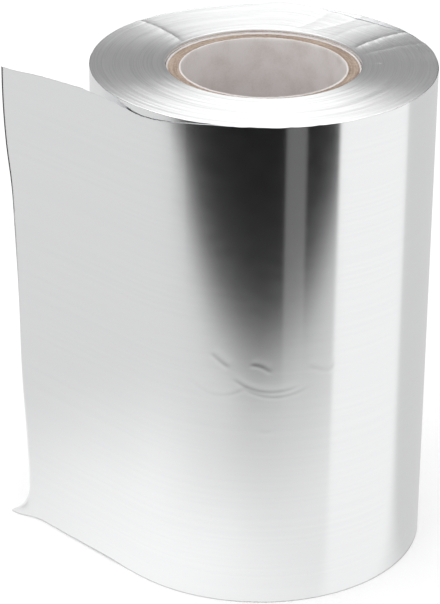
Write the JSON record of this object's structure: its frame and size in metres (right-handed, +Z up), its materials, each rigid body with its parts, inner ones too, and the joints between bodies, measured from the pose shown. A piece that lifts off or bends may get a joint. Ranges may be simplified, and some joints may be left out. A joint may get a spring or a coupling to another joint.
{
  "type": "aluminium foil roll",
  "caption": "Narrow aluminium foil wound tight on a paperboard core tube, standing on end, with its free end standing out along a tangent.",
  "frame": {"origin": "on the axis of the core tube's bore, in the plane the roll stands on", "axes": "+Z up along the bore; the foil's free end leaves the roll at 225 degrees round from +X and points to -X and +Y"},
  "size_m": [0.1001, 0.08, 0.12],
  "materials": {
    "foil": "polished",
    "paperboard": "matte"
  },
  "bodies": {
    "root": {"foil": "foil", "core_tube": "paperboard"}
  },
  "joints": []
}
